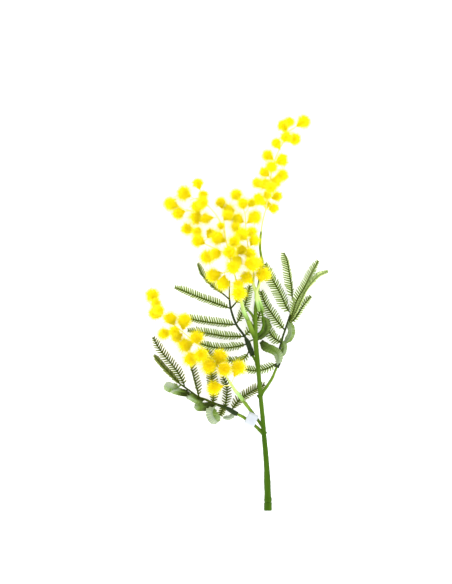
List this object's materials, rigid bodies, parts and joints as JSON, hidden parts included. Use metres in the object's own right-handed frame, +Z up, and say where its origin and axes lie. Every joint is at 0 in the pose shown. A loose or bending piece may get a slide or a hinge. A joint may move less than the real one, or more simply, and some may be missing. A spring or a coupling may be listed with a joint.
{
  "type": "artificial mimosa sprig",
  "caption": "Artificial mimosa sprig: a forked green stem with feathery comb-like fronds and sprays of round yellow flower heads, lying flat on a table.",
  "frame": {"origin": "middle of the bottom of the box round the whole sprig as it lies on a table", "axes": "+Y along the stem from its cut end to the flowering tip, +X to the right of the stem seen from above, +Z up from the table"},
  "size_m": [0.1816, 0.3948, 0.0494],
  "materials": {
    "stem": "moulded green polyethylene, satin",
    "leaf": "thin moulded dark green polyethylene, satin",
    "flower": "yellow flock over soft balls",
    "tag": "blank, slightly glossy"
  },
  "bodies": {
    "root": {"main_stem": "stem", "frond_upper_left": "leaf", "frond_right": "leaf", "frond_lower_left": "leaf", "spray_top": "flower", "spray_centre": "flower", "spray_left": "flower", "spray_lower": "flower", "tag": "tag"}
  },
  "joints": []
}
